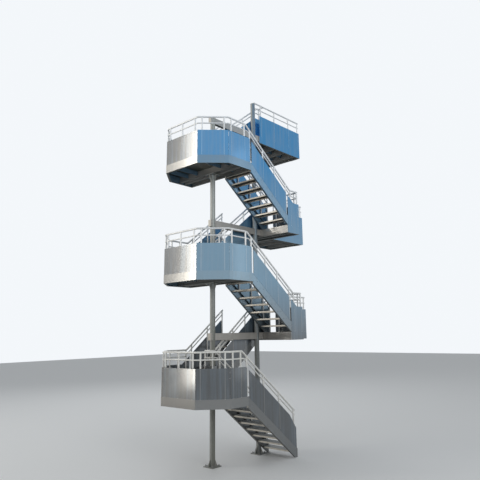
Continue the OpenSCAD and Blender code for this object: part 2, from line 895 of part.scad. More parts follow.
module left_platform_1() { left_platform(1); }
module left_platform_2() { left_platform(2); }
module left_platform_3() { left_platform(3); }
module left_guard_1() { left_guard(1); }
module left_guard_2() { left_guard(2); }
module left_guard_3() { left_guard(3); }
module left_sheets_1() { left_sheets(1); }
module left_sheets_2() { left_sheets(2); }
module left_sheets_3() { left_sheets(3); }
module right_platform_1() { right_platform(1); }
module right_platform_2() { right_platform(2); }
module right_platform_3() { right_platform(3); }
module right_guard_1() { right_guard(1); }
module right_guard_2() { right_guard(2); }
module right_guard_3() { right_guard(3); }
module right_sheets_1() { right_sheets(1); }
module right_sheets_2() { right_sheets(2); }
module right_sheets_3() { right_sheets(3); }

module strings_1() {
    color("silver") placed() near_flight(near_edge(1), left_z(1)) strings(first_risers, near_lane, first_end);
}
module strings_2() {
    color("silver") placed() far_flight(right_z(1)) strings(flight_risers, far_lane, toe_x);
}
module strings_3() {
    color("silver") placed() near_flight(left_reach, left_z(2)) strings(flight_risers, near_lane, toe_x);
}
module strings_4() {
    color("silver") placed() far_flight(right_z(2)) strings(flight_risers, far_lane, toe_x);
}
module strings_5() {
    color("silver") placed() near_flight(left_reach, left_z(3)) strings(flight_risers, near_lane, toe_x);
}
module strings_6() {
    color("silver") placed() far_flight(right_z(3)) strings(flight_risers, far_lane, toe_x);
}

module treads_1() {
    color("darkgray") placed() near_flight(near_edge(1), left_z(1)) treads(first_risers, near_lane);
}
module treads_2() {
    color("darkgray") placed() far_flight(right_z(1)) treads(flight_risers, far_lane);
}
module treads_3() {
    color("darkgray") placed() near_flight(left_reach, left_z(2)) treads(flight_risers, near_lane);
}
module treads_4() {
    color("darkgray") placed() far_flight(right_z(2)) treads(flight_risers, far_lane);
}
module treads_5() {
    color("darkgray") placed() near_flight(left_reach, left_z(3)) treads(flight_risers, near_lane);
}
module treads_6() {
    color("darkgray") placed() far_flight(right_z(3)) treads(flight_risers, far_lane);
}

module flight_guard_1() {
    color("lightgray") placed() near_flight(near_edge(1), left_z(1)) first_guard_pair();
}
module flight_guard_2() {
    color("lightgray") placed() far_flight(right_z(1)) far_guard_pair();
}
module flight_guard_3() {
    color("lightgray") placed() near_flight(left_reach, left_z(2)) near_guard_pair();
}
module flight_guard_4() {
    color("lightgray") placed() far_flight(right_z(2)) far_guard_pair();
}
module flight_guard_5() {
    color("lightgray") placed() near_flight(left_reach, left_z(3)) near_guard_pair();
}
module flight_guard_6() {
    color("lightgray") placed() far_flight(right_z(3)) far_guard_pair();
}

module flight_sheets_1() {
    color("skyblue") placed() near_flight(near_edge(1), left_z(1)) first_sheet_pair();
}
module flight_sheets_2() {
    color("skyblue") placed() far_flight(right_z(1)) far_sheet_pair();
}
module flight_sheets_3() {
    color("skyblue") placed() near_flight(left_reach, left_z(2)) near_sheet_pair();
}
module flight_sheets_4() {
    color("skyblue") placed() far_flight(right_z(2)) far_sheet_pair();
}
module flight_sheets_5() {
    color("skyblue") placed() near_flight(left_reach, left_z(3)) near_sheet_pair();
}
module flight_sheets_6() {
    color("skyblue") placed() far_flight(right_z(3)) far_sheet_pair();
}

column_left();
column_right();
centre_beams();
left_platform_1();
left_platform_2();
left_platform_3();
left_guard_1();
left_guard_2();
left_guard_3();
left_sheets_1();
left_sheets_2();
left_sheets_3();
right_platform_1();
right_platform_2();
right_platform_3();
right_guard_1();
right_guard_2();
right_guard_3();
right_sheets_1();
right_sheets_2();
right_sheets_3();
strings_1();
strings_2();
strings_3();
strings_4();
strings_5();
strings_6();
treads_1();
treads_2();
treads_3();
treads_4();
treads_5();
treads_6();
flight_guard_1();
flight_guard_2();
flight_guard_3();
flight_guard_4();
flight_guard_5();
flight_guard_6();
flight_sheets_1();
flight_sheets_2();
flight_sheets_3();
flight_sheets_4();
flight_sheets_5();
flight_sheets_6();
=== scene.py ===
import json
import math

import bmesh
import bpy
from mathutils import Matrix, Vector


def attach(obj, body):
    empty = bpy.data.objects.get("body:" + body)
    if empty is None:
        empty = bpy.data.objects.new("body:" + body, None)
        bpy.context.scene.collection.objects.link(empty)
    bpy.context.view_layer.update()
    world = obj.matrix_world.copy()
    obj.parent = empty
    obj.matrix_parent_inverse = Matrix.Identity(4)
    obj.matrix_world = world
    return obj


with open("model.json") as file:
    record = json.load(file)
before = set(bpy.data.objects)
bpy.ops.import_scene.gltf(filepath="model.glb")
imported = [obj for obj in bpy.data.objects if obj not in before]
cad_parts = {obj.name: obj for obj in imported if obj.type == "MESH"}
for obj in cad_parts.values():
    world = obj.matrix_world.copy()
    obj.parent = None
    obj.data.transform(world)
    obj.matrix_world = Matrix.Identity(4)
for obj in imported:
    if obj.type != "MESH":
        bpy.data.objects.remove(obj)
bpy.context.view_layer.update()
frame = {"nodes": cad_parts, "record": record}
print("frame loaded:", len(frame["nodes"]), "nodes")

# Main sizes of the tower in metres, in its own plan: u along the flights, v from the near face
tower = {
    "originU": 0.470, "originV": 1.100, "width": 2.440,
    "riser": 0.190, "going": 0.240, "risers": 8, "firstRisers": 9,
    "nearLane": 1.025, "farLane": 1.200, "firstEdge": 0.635, "edge": 0.875, "rightEdge": 2.430,
    "cornerCut": 0.585, "wall": 3.000, "walkwayEnd": 4.560, "columnU": 2.220, "columnRadius": 0.06985,
    "setback": 0.008, "postRadius": 0.0212, "postIn": 0.0295,
    "railRadius": 0.02415, "midRadius": 0.01685, "flatRail": 1.07585, "flatMid": 0.900,
    "rakeRail": 0.9192, "rakeMid": 0.800, "sheetOut": 0.005,
    "leftLevels": [1.710, 4.750, 7.790], "rightLevels": [3.230, 6.270, 9.310],
}
slope = tower["riser"] / tower["going"]
pitch = math.atan(slope)
topLevel = len(tower["rightLevels"]) - 1


def place(u, v, z):
    return Vector((u - tower["originU"], v - tower["originV"], z))


def leftEdge(level):
    # The lowest left platform is one going shorter, because its flight has one riser more
    return tower["firstEdge"] if level == 0 else tower["edge"]


# Each flight in its own frame: top nosing at zero, falling along +X, y over the lane
flights = []
for level, (nearTop, farTop) in enumerate(zip(tower["leftLevels"], tower["rightLevels"])):
    flights.append({
        "risers": tower["firstRisers"] if level == 0 else tower["risers"],
        "lane": tower["nearLane"], "far": False,
        "matrix": Matrix.Translation(place(leftEdge(level), 0, nearTop)),
    })
    flights.append({
        "risers": tower["risers"], "lane": tower["farLane"], "far": True,
        "matrix": Matrix.Translation(place(tower["rightEdge"], tower["width"], farTop))
        @ Matrix.Rotation(math.pi, 4, "Z"),
    })


# Shader groups shared by the finishes

def newGroup(name, inputs, outputs):
    group = bpy.data.node_groups.new(name, "ShaderNodeTree")
    for socket, kind, value in inputs:
        made = group.interface.new_socket(name=socket, in_out="INPUT", socket_type=kind)
        made.default_value = value
    for socket, kind in outputs:
        group.interface.new_socket(name=socket, in_out="OUTPUT", socket_type=kind)
    enter = group.nodes.new("NodeGroupInput")
    leave = group.nodes.new("NodeGroupOutput")
    return group, enter, leave


def addNode(tree, kind, settings=None, values=None):
    node = tree.nodes.new(kind)
    for key, value in (settings or {}).items():
        setattr(node, key, value)
    for key, value in (values or {}).items():
        node.inputs[key].default_value = value
    return node


def join(tree, source, target):
    tree.links.new(source, target)


def ramp(tree, source, low, high, fromLow=0.0, fromHigh=1.0):
    node = addNode(tree, "ShaderNodeMapRange", {"clamp": True}, {1: fromLow, 2: fromHigh, 3: low, 4: high})
    join(tree, source, node.inputs[0])
    return node.outputs[0]


def feed(tree, value, socket):
    # A socket takes another node's output or a plain value
    if isinstance(value, bpy.types.NodeSocket):
        join(tree, value, socket)
    else:
        socket.default_value = value


def mixColors(tree, factor, first, second, blend="MIX"):
    node = addNode(tree, "ShaderNodeMix", {"data_type": "RGBA", "blend_type": blend})
    feed(tree, factor, node.inputs[0])
    feed(tree, first, node.inputs[6])
    feed(tree, second, node.inputs[7])
    return node.outputs[2]


def addNoise(tree, vector, scale, detail, roughness):
    node = addNode(tree, "ShaderNodeTexNoise", values={
        "Scale": scale, "Detail": detail, "Roughness": roughness})
    join(tree, vector, node.inputs["Vector"])
    return node.outputs["Fac"]


def calculate(tree, operation, first, second):
    node = addNode(tree, "ShaderNodeMath", {"operation": operation})
    feed(tree, first, node.inputs[0])
    feed(tree, second, node.inputs[1])
    return node.outputs[0]


zincLook = {"grainScale": 240.0, "grainDetail": 3.0, "grainRoughness": 0.6}
weatherLook = {
    "streakScale": (12.0, 12.0, 0.6), "streakDetail": 4.0, "streakRoughness": 0.55,
    "cloudScale": 2.2, "cloudDetail": 5.0, "cloudRoughness": 0.6,
    "swayScale": (5.0, 5.0, 0.35), "swayDetail": 1.0, "swayRoughness": 0.4,
    "streakRange": (0.42, 0.72), "cloudRange": (0.40, 0.68),
    # Facing masks: down carries the painted shade under things, left the painted light on left-facing sides
    "downRange": (-1.0, -0.3), "leftRange": (-0.97, -0.80), "upRange": (0.6, 0.9),
}
# Heights for the painted reflection tone (grey low down, sky blue higher up, deeper blue to the right), and
# for the rise of the painted light on left-facing sides
toneHeights = {
    "lower": (2.9, 4.6), "upper": (5.6, 7.8), "rise": (2.9, 6.5), "riseStart": 0.62, "away": (0.35, 0.95),
}


def buildZincGroup():
    # Spangle of hot-dip zinc: large flat crystals with a fine grain inside
    group, enter, leave = newGroup(
        "zincSpangle",
        [("Scale", "NodeSocketFloat", 60.0), ("Contrast", "NodeSocketFloat", 0.2)],
        [("Value", "NodeSocketFloat"), ("Grain", "NodeSocketFloat")])
    coords = addNode(group, "ShaderNodeTexCoord")
    cells = addNode(group, "ShaderNodeTexVoronoi", {"feature": "F1", "voronoi_dimensions": "3D"},
                    {"Randomness": 1.0})
    join(group, coords.outputs["Object"], cells.inputs["Vector"])
    join(group, enter.outputs["Scale"], cells.inputs["Scale"])
    grey = addNode(group, "ShaderNodeSeparateColor")
    join(group, cells.outputs["Color"], grey.inputs[0])
    grain = addNoise(group, coords.outputs["Object"], zincLook["grainScale"], zincLook["grainDetail"],
                     zincLook["grainRoughness"])
    centred = calculate(group, "SUBTRACT", grey.outputs[0], 0.5)
    scaled = calculate(group, "MULTIPLY", centred, enter.outputs["Contrast"])
    join(group, calculate(group, "ADD", scaled, 0.5), leave.inputs["Value"])
    join(group, grain, leave.inputs["Grain"])
    return group


def buildWeatherGroup():
    # Streaks that run down (rain streaks, and on the sheets also painted reflection stripes), dust in soft
    # patches, slow waves, and which way a surface looks for painted shade and painted light
    group, enter, leave = newGroup(
        "weatheringAndFacing",
        [("Streaks", "NodeSocketFloat", 0.4), ("Dust", "NodeSocketFloat", 0.3)],
        [("Streak", "NodeSocketFloat"), ("Dust", "NodeSocketFloat"), ("Down", "NodeSocketFloat"),
         ("Left", "NodeSocketFloat"), ("Up", "NodeSocketFloat"), ("Sway", "NodeSocketFloat")])
    coords = addNode(group, "ShaderNodeTexCoord")
    stretch = addNode(group, "ShaderNodeMapping", values={"Scale": weatherLook["streakScale"]})
    join(group, coords.outputs["Object"], stretch.inputs["Vector"])
    streak = addNoise(group, stretch.outputs[0], 1.0, weatherLook["streakDetail"],
                      weatherLook["streakRoughness"])
    cloud = addNoise(group, coords.outputs["Object"], weatherLook["cloudScale"], weatherLook["cloudDetail"],
                     weatherLook["cloudRoughness"])
    long = addNode(group, "ShaderNodeMapping", values={"Scale": weatherLook["swayScale"]})
    join(group, coords.outputs["Object"], long.inputs["Vector"])
    sway = addNoise(group, long.outputs[0], 1.0, weatherLook["swayDetail"], weatherLook["swayRoughness"])
    join(group, sway, leave.inputs["Sway"])
    streakMask = ramp(group, streak, 0.0, 1.0, *weatherLook["streakRange"])
    cloudMask = ramp(group, cloud, 0.0, 1.0, *weatherLook["cloudRange"])
    join(group, calculate(group, "MULTIPLY", streakMask, enter.outputs["Streaks"]), leave.inputs["Streak"])
    join(group, calculate(group, "MULTIPLY", cloudMask, enter.outputs["Dust"]), leave.inputs["Dust"])
    shape = addNode(group, "ShaderNodeNewGeometry")
    facing = addNode(group, "ShaderNodeSeparateXYZ")
    join(group, shape.outputs["Normal"], facing.inputs[0])
    join(group, ramp(group, facing.outputs["Z"], 1.0, 0.0, *weatherLook["downRange"]), leave.inputs["Down"])
    join(group, ramp(group, facing.outputs["X"], 1.0, 0.0, *weatherLook["leftRange"]), leave.inputs["Left"])
    join(group, ramp(group, facing.outputs["Z"], 0.0, 1.0, *weatherLook["upRange"]), leave.inputs["Up"])
    return group


def buildToneGroup():
    # Painted reflection: three tones over the height of the tower, grey at the foot, sky blue at the top and
    # deeper on the right, standing in for ground and sky reflected in the metal
    grey = (0.2, 0.2, 0.2, 1)
    group, enter, leave = newGroup(
        "paintedReflectionTone", [(name, "NodeSocketColor", grey) for name in ("Low", "Middle", "High", "Deep")],
        [("Color", "NodeSocketColor"), ("Rise", "NodeSocketFloat")])
    coords = addNode(group, "ShaderNodeTexCoord")
    axes = addNode(group, "ShaderNodeSeparateXYZ")
    join(group, coords.outputs["Object"], axes.inputs[0])
    lower = ramp(group, axes.outputs["Z"], 0.0, 1.0, *toneHeights["lower"])
    upper = ramp(group, axes.outputs["Z"], 0.0, 1.0, *toneHeights["upper"])
    rise = ramp(group, axes.outputs["Z"], toneHeights["riseStart"], 1.0, *toneHeights["rise"])
    join(group, rise, leave.inputs["Rise"])
    away = ramp(group, axes.outputs["X"], 0.0, 1.0, *toneHeights["away"])
    first = mixColors(group, lower, enter.outputs["Low"], enter.outputs["Middle"])
    deep = mixColors(group, away, enter.outputs["High"], enter.outputs["Deep"])
    join(group, mixColors(group, upper, first, deep), leave.inputs["Color"])
    return group


zincGroup = buildZincGroup()
weatherGroup = buildWeatherGroup()
toneGroup = buildToneGroup()


def placeGroup(tree, group, values):
    node = tree.nodes.new("ShaderNodeGroup")
    node.node_tree = group
    for key, value in values.items():
        node.inputs[key].default_value = value
    return node


reliefs = {"dustRough": 0.3, "levelRough": 0.3, "swayDistance": 0.004, "bumpDistance": 0.0006}


def makeMetal(name, look):
    material = bpy.data.materials.new(name)
    material.use_nodes = True
    tree = material.node_tree
    tree.nodes.clear()
    out = tree.nodes.new("ShaderNodeOutputMaterial")
    shader = addNode(tree, "ShaderNodeBsdfPrincipled", values={"Metallic": look["metallic"]})
    join(tree, shader.outputs[0], out.inputs["Surface"])
    zinc = placeGroup(tree, zincGroup, {"Scale": look["spangle"], "Contrast": 1.0})
    weather = placeGroup(tree, weatherGroup, {"Streaks": look["streaks"], "Dust": look["dust"]})
    tone = placeGroup(tree, toneGroup, {
        "Low": (*look["low"], 1), "Middle": (*look["middle"], 1), "High": (*look["high"], 1),
        "Deep": (*look.get("deep", look["high"]), 1)})
    # Painted light: faces looking left get a lighter, warmer colour that grows with height, standing in for
    # sunlight and bright reflections on that side
    left = mixColors(tree, look["litLeftRise"], (*look["left"], 1), tone.outputs["Rise"], "MULTIPLY")
    sided = mixColors(tree, weather.outputs["Left"], tone.outputs["Color"], left)
    shade = ramp(tree, zinc.outputs["Value"], 1.0 - look["contrast"], 1.0 + look["contrast"])
    base = mixColors(tree, 1.0, sided, shade, "MULTIPLY")
    # Streaks: rain streaks on the steel, and lighter bluish painted reflection stripes on the sheets
    streaked = mixColors(tree, weather.outputs["Streak"], base, (*look["streakAndReflectionColor"], 1))
    dusty = mixColors(tree, weather.outputs["Dust"], streaked, (*look["dustColor"], 1))
    topped = mixColors(tree, calculate(tree, "MULTIPLY", weather.outputs["Up"], look["topShare"]),
                       dusty, (*look["topColor"], 1))
    # Painted shade: faces looking down are darkened towards a dark brown
    under = calculate(tree, "MULTIPLY", weather.outputs["Down"], look["underShadeShare"])
    final = mixColors(tree, under, topped, (*look["underShadeColor"], 1))
    join(tree, final, shader.inputs["Base Color"])
    rough = ramp(tree, zinc.outputs["Value"], look["rough"] - look["span"], look["rough"] + look["span"])
    dustRough = calculate(tree, "MULTIPLY", weather.outputs["Dust"], reliefs["dustRough"])
    rougher = calculate(tree, "ADD", rough, dustRough)
    level = calculate(tree, "MAXIMUM", under, weather.outputs["Up"])
    levelRough = calculate(tree, "MULTIPLY", level, reliefs["levelRough"])
    join(tree, calculate(tree, "ADD", rougher, levelRough), shader.inputs["Roughness"])
    sway = addNode(tree, "ShaderNodeBump", values={
        "Strength": look["sway"], "Distance": reliefs["swayDistance"]})
    join(tree, weather.outputs["Sway"], sway.inputs["Height"])
    bump = addNode(tree, "ShaderNodeBump", values={
        "Strength": look["bump"], "Distance": reliefs["bumpDistance"]})
    join(tree, zinc.outputs["Grain"], bump.inputs["Height"])
    join(tree, sway.outputs[0], bump.inputs["Normal"])
    join(tree, bump.outputs[0], shader.inputs["Normal"])
    return material


# Per finish: low, middle, high and deep are the painted reflection tone over height, left is painted light on
# left-facing sides, and the under shade colour is painted shade under things
finishes = {
    "sheets": {
        "metallic": 0.45, "rough": 0.13, "span": 0.01, "spangle": 110.0, "contrast": 0.03, "bump": 0.0,
        "sway": 0.03,
        "low": (0.165, 0.172, 0.178), "middle": (0.205, 0.340, 0.450), "high": (0.100, 0.320, 0.595),
        "deep": (0.035, 0.250, 0.520), "left": (0.215, 0.210, 0.203), "litLeftRise": 0.20,
        "streaks": 0.30, "streakAndReflectionColor": (0.30, 0.38, 0.46), "dust": 0.05, "dustColor": (0.26, 0.26, 0.24),
        "underShadeShare": 0.5, "underShadeColor": (0.08, 0.07, 0.05), "topShare": 0.0, "topColor": (0.30, 0.31, 0.31),
    },
    "tubes": {
        "metallic": 0.25, "rough": 0.34, "span": 0.05, "spangle": 90.0, "contrast": 0.08, "bump": 0.10,
        "sway": 0.0,
        "low": (0.76, 0.75, 0.71), "middle": (0.84, 0.85, 0.85), "high": (0.86, 0.89, 0.92),
        "left": (0.86, 0.84, 0.80), "litLeftRise": 0.6,
        "streaks": 0.15, "streakAndReflectionColor": (0.50, 0.50, 0.48), "dust": 0.12, "dustColor": (0.52, 0.50, 0.46),
        "underShadeShare": 0.3, "underShadeColor": (0.36, 0.34, 0.30), "topShare": 0.0, "topColor": (0.60, 0.60, 0.58),
    },
    "structure": {
        "metallic": 0.42, "rough": 0.16, "span": 0.01, "spangle": 110.0, "contrast": 0.03, "bump": 0.02,
        "sway": 0.02,
        "low": (0.23, 0.235, 0.235), "middle": (0.26, 0.39, 0.49), "high": (0.18, 0.36, 0.55),
        "left": (0.50, 0.47, 0.42), "litLeftRise": 1.0,
        "streaks": 0.25, "streakAndReflectionColor": (0.26, 0.28, 0.30), "dust": 0.12, "dustColor": (0.28, 0.27, 0.24),
        "underShadeShare": 0.85, "underShadeColor": (0.045, 0.038, 0.026),
        "topShare": 0.5, "topColor": (0.30, 0.31, 0.31),
    },
    "deck_steel": {
        "metallic": 0.42, "rough": 0.15, "span": 0.01, "spangle": 110.0, "contrast": 0.03, "bump": 0.02,
        "sway": 0.02,
        "low": (0.280, 0.282, 0.278), "middle": (0.25, 0.37, 0.46), "high": (0.17, 0.31, 0.45),
        "left": (0.42, 0.40, 0.37), "litLeftRise": 0.95,
        "streaks": 0.20, "streakAndReflectionColor": (0.26, 0.28, 0.29), "dust": 0.10, "dustColor": (0.26, 0.25, 0.22),
        "underShadeShare": 0.94, "underShadeColor": (0.030, 0.028, 0.010),
        "topShare": 0.8, "topColor": (0.30, 0.31, 0.31),
    },
    "columns": {
        "metallic": 0.25, "rough": 0.42, "span": 0.05, "spangle": 40.0, "contrast": 0.10, "bump": 0.12,
        "sway": 0.0,
        "low": (0.175, 0.178, 0.155), "middle": (0.36, 0.375, 0.36), "high": (0.41, 0.44, 0.425),
        "left": (0.44, 0.44, 0.41), "litLeftRise": 1.0,
        "streaks": 0.30, "streakAndReflectionColor": (0.22, 0.22, 0.19), "dust": 0.15, "dustColor": (0.27, 0.26, 0.22),
        "underShadeShare": 0.8, "underShadeColor": (0.07, 0.06, 0.045), "topShare": 0.5, "topColor": (0.30, 0.31, 0.31),
    },
}
# Nodes that differ from the finish of their slot, by the start of their names: column_right is a darker,
# bluer copy of the columns with painted shade, centre_beams a lighter beige copy of the structure with
# painted sunlight, and the treads get painted light on their left-facing lips and painted shade underneath
variants = {
    "column_right": {
        "low": (0.155, 0.165, 0.165), "middle": (0.20, 0.245, 0.28), "high": (0.16, 0.24, 0.32),
    },
    "centre_beams": {
        "rough": 0.42, "span": 0.04, "bump": 0.12, "streakAndReflectionColor": (0.30, 0.28, 0.24),
        "low": (0.40, 0.38, 0.35), "middle": (0.42, 0.40, 0.37), "high": (0.38, 0.40, 0.41),
    },
    "treads": {
        "rough": 0.46, "span": 0.05, "spangle": 60.0, "bump": 0.15,
        "low": (0.26, 0.25, 0.23), "middle": (0.30, 0.30, 0.29), "high": (0.30, 0.31, 0.31),
        "left": (0.90, 0.83, 0.72), "underShadeColor": (0.060, 0.050, 0.034),
    },
}
materials = {slotName: makeMetal(slotName + "Metal", look) for slotName, look in finishes.items()}
print("finishes made:", ", ".join(sorted(materials)))

slotOfNode = {part["node"]: part["material_slot"] for part in frame["record"]["subparts"]}
variantMaterials = {}
for nodeName, node in frame["nodes"].items():
    slotName = slotOfNode[nodeName]
    node.data.materials.clear()
    start = next((key for key in variants if nodeName.startswith(key)), None)
    if start and start not in variantMaterials:
        variantMaterials[start] = makeMetal(start + "Metal", {**finishes[slotName], **variants[start]})
    node.data.materials.append(variantMaterials[start] if start else materials[slotName])
print("CAD nodes dressed")


# Fittings: each kind is one piece, and grips and nosings are one for each platform or flight

turns = {
    "up": Matrix.Identity(4), "down": Matrix.Rotation(math.pi, 4, "X"),
    "near": Matrix.Rotation(math.pi / 2, 4, "X"), "far": Matrix.Rotation(-math.pi / 2, 4, "X"),
    "right": Matrix.Rotation(math.pi / 2, 4, "Y"), "left": Matrix.Rotation(-math.pi / 2, 4, "Y"),
}
smoothAngle = math.radians(35.0)


def finishPiece(bm, name, slotName, material=None):
    bmesh.ops.recalc_face_normals(bm, faces=bm.faces)
    mesh = bpy.data.meshes.new(name)
    bm.to_mesh(mesh)
    bm.free()
    mesh.shade_smooth()
    mesh.set_sharp_from_angle(angle=smoothAngle)
    mesh.materials.append(material or materials[slotName])
    piece = bpy.data.objects.new(name, mesh)
    bpy.context.scene.collection.objects.link(piece)
    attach(piece, "root")
    print(name, "made:", len(mesh.polygons), "faces")


def addDisc(bm, seat, height, radius, segments, top=None, lift=0.0):
    bmesh.ops.create_cone(
        bm, cap_ends=True, segments=segments, radius1=radius, radius2=radius if top is None else top,
        depth=height, matrix=seat @ Matrix.Translation((0, 0, lift + height / 2)))


boltShape = {"washerSides": 16, "headSides": 6, "studSides": 10, "studTaper": 0.8}


def addBolt(bm, seat, look):
    # A washer, a hexagon head or nut, and the end of the stud where there is one
    addDisc(bm, seat, look["washerHeight"], look["washer"], boltShape["washerSides"])
    addDisc(bm, seat, look["head"], look["headRadius"], boltShape["headSides"], lift=look["washerHeight"])
    addDisc(bm, seat, look["stud"], look["studRadius"], boltShape["studSides"],
            top=look["studRadius"] * boltShape["studTaper"], lift=look["washerHeight"] + look["head"])


def addBar(bm, frameMatrix, low, high):
    # A straight bar between two corners
    size = [b - a for a, b in zip(low, high)]
    middle = Matrix.Translation([(a + b) / 2 for a, b in zip(low, high)])
    bmesh.ops.create_cube(bm, size=1.0, matrix=frameMatrix @ middle @ Matrix.Diagonal((*size, 1)))


def sideFrame(u, v, z, degrees):
    # X along a side of the tower, Y towards its inside
    return Matrix.Translation(place(u, v, z)) @ Matrix.Rotation(math.radians(degrees), 4, "Z")


def innerSide(flight):
    return flight["matrix"] @ Matrix.Translation((0, flight["lane"], 0)) @ Matrix.Scale(-1, 4, (0, 1, 0))


# Where the posts stand along each side, and where the clamp strips at the sheets' ends sit
guards = {
    "cornerPost": 0.120, "edgePost": 0.026, "footPost": 0.020, "wellLevel": 0.110,
    "rakePost": 0.525, "rakePostLow": 0.145, "firstPosts": [0.595, 1.195, 1.795], "wallSidePost": 0.315,
    "nearEndPost": 0.063, "endGuardPost": 0.160, "walkPostEnd": 0.075, "topWalkPost": 0.110,
    "secondWalkPost": 0.225, "thirdWalkPost": 0.970, "flightRun": 1.680,
    "edgeShift": 0.015, "edgeTop": 0.665, "lowShift": 0.020, "cutTop": 0.530,
}
farLaneEdge = tower["width"] - tower["farLane"]
topBend = (tower["rakeRail"] - tower["flatRail"]) / slope
footBend = (tower["rakeRail"] + tower["risers"] * tower["riser"] - tower["flatRail"]) / slope
leftReach = tower["edge"]
footPost = tower["rightEdge"] - footBend - guards["footPost"]
rightWell = tower["rightEdge"] - topBend + guards["wellLevel"]
postDiameter = 2 * tower["postRadius"]
postLow = guards["flightRun"] - guards["rakePostLow"]
# A post at the end of a sheet also gives how far its clamp strip moves onto the sheet, and its top
lowPost = (postLow, -guards["lowShift"], None)
rakePosts = [guards["rakePost"], (guards["rakePost"] + postLow) / 2, lowPost]
wallSidePosts = [guards["wallSidePost"], (guards["wallSidePost"] + postLow) / 2, lowPost]
firstPosts = guards["firstPosts"][:2] + [(guards["firstPosts"][2], 0.0, guards["cutTop"])]
shift, edgeTop = guards["edgeShift"], guards["edgeTop"]
diagonal = tower["cornerCut"] * math.sqrt(2)

levelSides = []
for level, z in enumerate(tower["leftLevels"]):
    edge = leftEdge(level)
    wellPost = edge + topBend - guards["wellLevel"] + postDiameter
    wide, side = tower["width"], guards["cornerPost"]
    levelSides += [
        (sideFrame(0, 0, z, 0),
         [side, edge + topBend - postDiameter, (edge - guards["edgePost"], -shift, edgeTop)]),
        (sideFrame(-tower["cornerCut"], tower["cornerCut"], z, -45), [side, diagonal - side]),
        (sideFrame(-tower["cornerCut"], wide - tower["cornerCut"], z, -90),
         [side, wide / 2 - tower["cornerCut"], wide - 2 * tower["cornerCut"] - side]),
        (sideFrame(0, wide, z, -135), [side, diagonal - side]),
        (sideFrame(0, wide, z, 180), [-side, -(side + footPost) / 2, -footPost]),
        (sideFrame(0, tower["nearLane"], z, 180), [(guards["edgePost"] - edge, shift, edgeTop), -wellPost]),
        (sideFrame(0, farLaneEdge, z, 0), [wellPost, footPost] if level == 0 else [wellPost]),
    ]
for level, z in enumerate(tower["rightLevels"]):
    farWell = (sideFrame(0, farLaneEdge, z, 0),
               [(tower["rightEdge"] + guards["edgePost"], shift, edgeTop), rightWell - postDiameter])
    walkFrame = sideFrame(0, tower["nearLane"], z, 0)
    if level == topLevel:
        levelSides += [farWell, (walkFrame, [
            tower["rightEdge"] + guards["topWalkPost"], tower["wall"] + guards["secondWalkPost"],
            tower["wall"] + guards["thirdWalkPost"], tower["walkwayEnd"] - guards["walkPostEnd"]])]
    else:
        levelSides += [
            farWell,
            (walkFrame, [tower["wall"] + guards["walkPostEnd"], (tower["wall"] + tower["walkwayEnd"]) / 2,
                         tower["walkwayEnd"] - guards["walkPostEnd"]]),
            (sideFrame(0, 0, z, 0),
             [leftReach + footBend + guards["footPost"], tower["wall"] - guards["nearEndPost"]]),
            (sideFrame(tower["wall"] + tower["setback"], 0, z, 90),
             [guards["endGuardPost"], tower["nearLane"] - guards["endGuardPost"]]),
            (sideFrame(0, tower["nearLane"], z, 180), [postDiameter - rightWell]),
        ]
rakeSides = []
for number, flight in enumerate(flights):
    outer = firstPosts if number == 0 else wallSidePosts if flight["far"] else rakePosts
    rakeSides.append((flight["matrix"], outer))
    rakeSides.append((innerSide(flight), firstPosts if number == 0 else rakePosts))

# Clamp strips on the sheets along the posts, their screws, and weld collars at the posts' feet
screws = {"head": 0.0013, "radius": 0.0058, "top": 0.0036, "sides": 8, "inset": 0.050,
          "washer": 0.0072, "washerHeight": 0.0005, "washerSides": 12}
collars = {"height": 0.007, "spread": 0.006, "lip": 0.0003, "sides": 16, "stringTop": 0.015}
clamps = {"half": 0.0080, "thick": 0.0016, "low": 0.012, "high": 0.690, "rakeLow": 0.022, "rakeHigh": 0.632}
# The clamp strips take the painted reflection tone, a little lighter than the sheets
clampLook = {"low": (0.31, 0.31, 0.30), "middle": (0.38, 0.48, 0.56), "high": (0.30, 0.50, 0.72),
             "deep": (0.20, 0.42, 0.66)}
lean = Matrix(((1, 0, 0, 0), (0, 1, 0, 0), (-slope, 0, 1, 0), (0, 0, 0, 1)))
screwMesh = bmesh.new()
clampMesh = bmesh.new()
collarMesh = bmesh.new()
for raking, sides in ((False, levelSides), (True, rakeSides)):
    for matrix, posts in sides:
        for post in posts:
            along, move, top = post if isinstance(post, tuple) else (post, 0.0, None)
            foot = collars["stringTop"] - slope * along if raking else 0.0
            seat = matrix @ Matrix.Translation((along, tower["postIn"], foot)) @ (
                lean if raking else turns["up"])
            addDisc(collarMesh, seat, collars["height"], tower["postRadius"] + collars["spread"],
                    collars["sides"], top=tower["postRadius"] + collars["lip"])
            along += move
            drop = slope * along if raking else 0.0
            low = clamps["rakeLow" if raking else "low"]
            high = top or clamps["rakeHigh" if raking else "high"]
            spot = matrix @ Matrix.Translation((along, tower["sheetOut"], -drop))
            addBar(clampMesh, spot @ lean if raking else spot, (-clamps["half"], -clamps["thick"], low),
                   (clamps["half"], 0.0, high))
            for height in (low + screws["inset"], (low + high) / 2, high - screws["inset"]):
                seat = spot @ Matrix.Translation((0, -clamps["thick"], height)) @ turns["near"]
                addDisc(screwMesh, seat, screws["washerHeight"], screws["washer"], screws["washerSides"])
                addDisc(screwMesh, seat, screws["head"], screws["radius"], screws["sides"], top=screws["top"],
                        lift=screws["washerHeight"])
finishPiece(clampMesh, "clampStrips", "sheets", makeMetal("clampMetal", {**finishes["sheets"], **clampLook}))
finishPiece(screwMesh, "sheetScrews", "structure")
finishPiece(collarMesh, "postCollars", "tubes")

